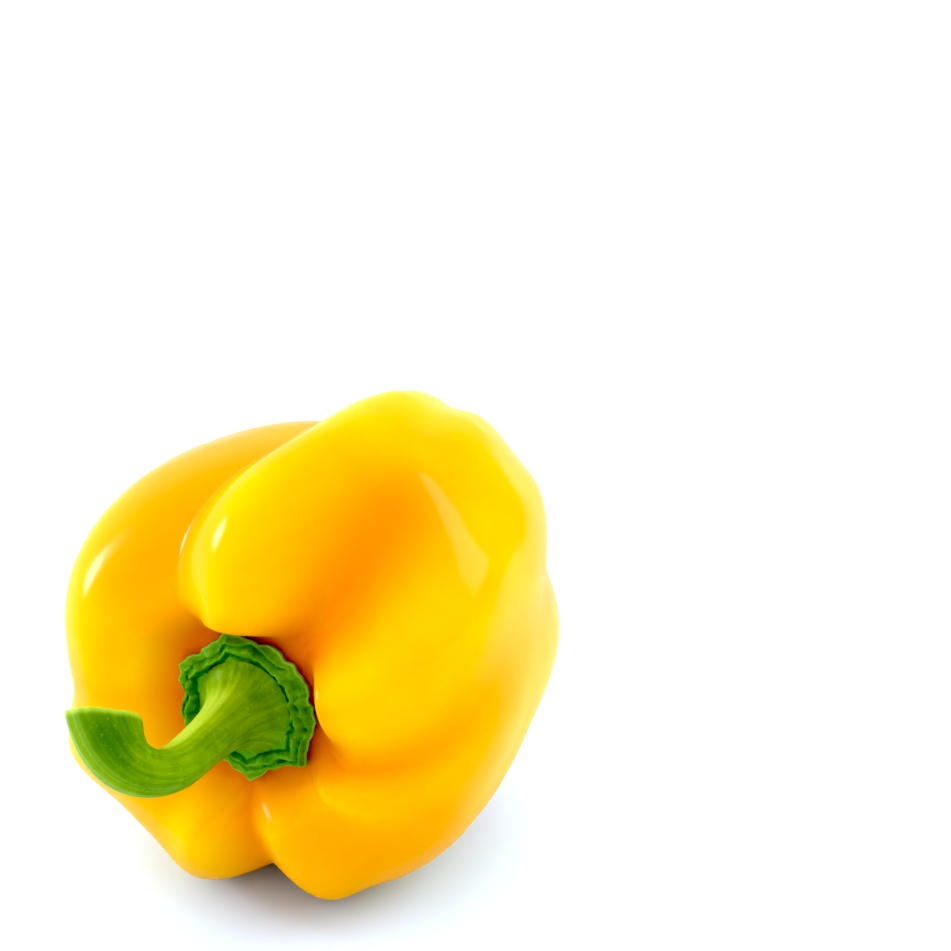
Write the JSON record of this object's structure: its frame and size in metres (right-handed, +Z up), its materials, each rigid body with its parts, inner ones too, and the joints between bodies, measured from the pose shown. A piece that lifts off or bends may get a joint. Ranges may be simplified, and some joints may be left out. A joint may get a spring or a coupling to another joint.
{
  "type": "bell pepper",
  "caption": "Whole blocky bell pepper lying on its side, with a lobed pod, a pointed leaf cup in the stem hollow and a hooked, cut stem.",
  "frame": {"origin": "middle of the whole pepper's box in X and Y, on the surface that it rests on", "axes": "-Y towards the stem end along the pod's core, +Y towards the blossom end, +Z up from the surface that it rests on"},
  "size_m": [0.0887, 0.1236, 0.0955],
  "materials": {
    "pod_skin": "smooth waxy skin, glossy",
    "calyx_green": "matt leaf, rumpled",
    "stem_green": "satin, finely grooved along its length"
  },
  "bodies": {
    "root": {"fruit_body": "pod_skin", "calyx": "calyx_green", "stem": "stem_green"}
  },
  "joints": []
}
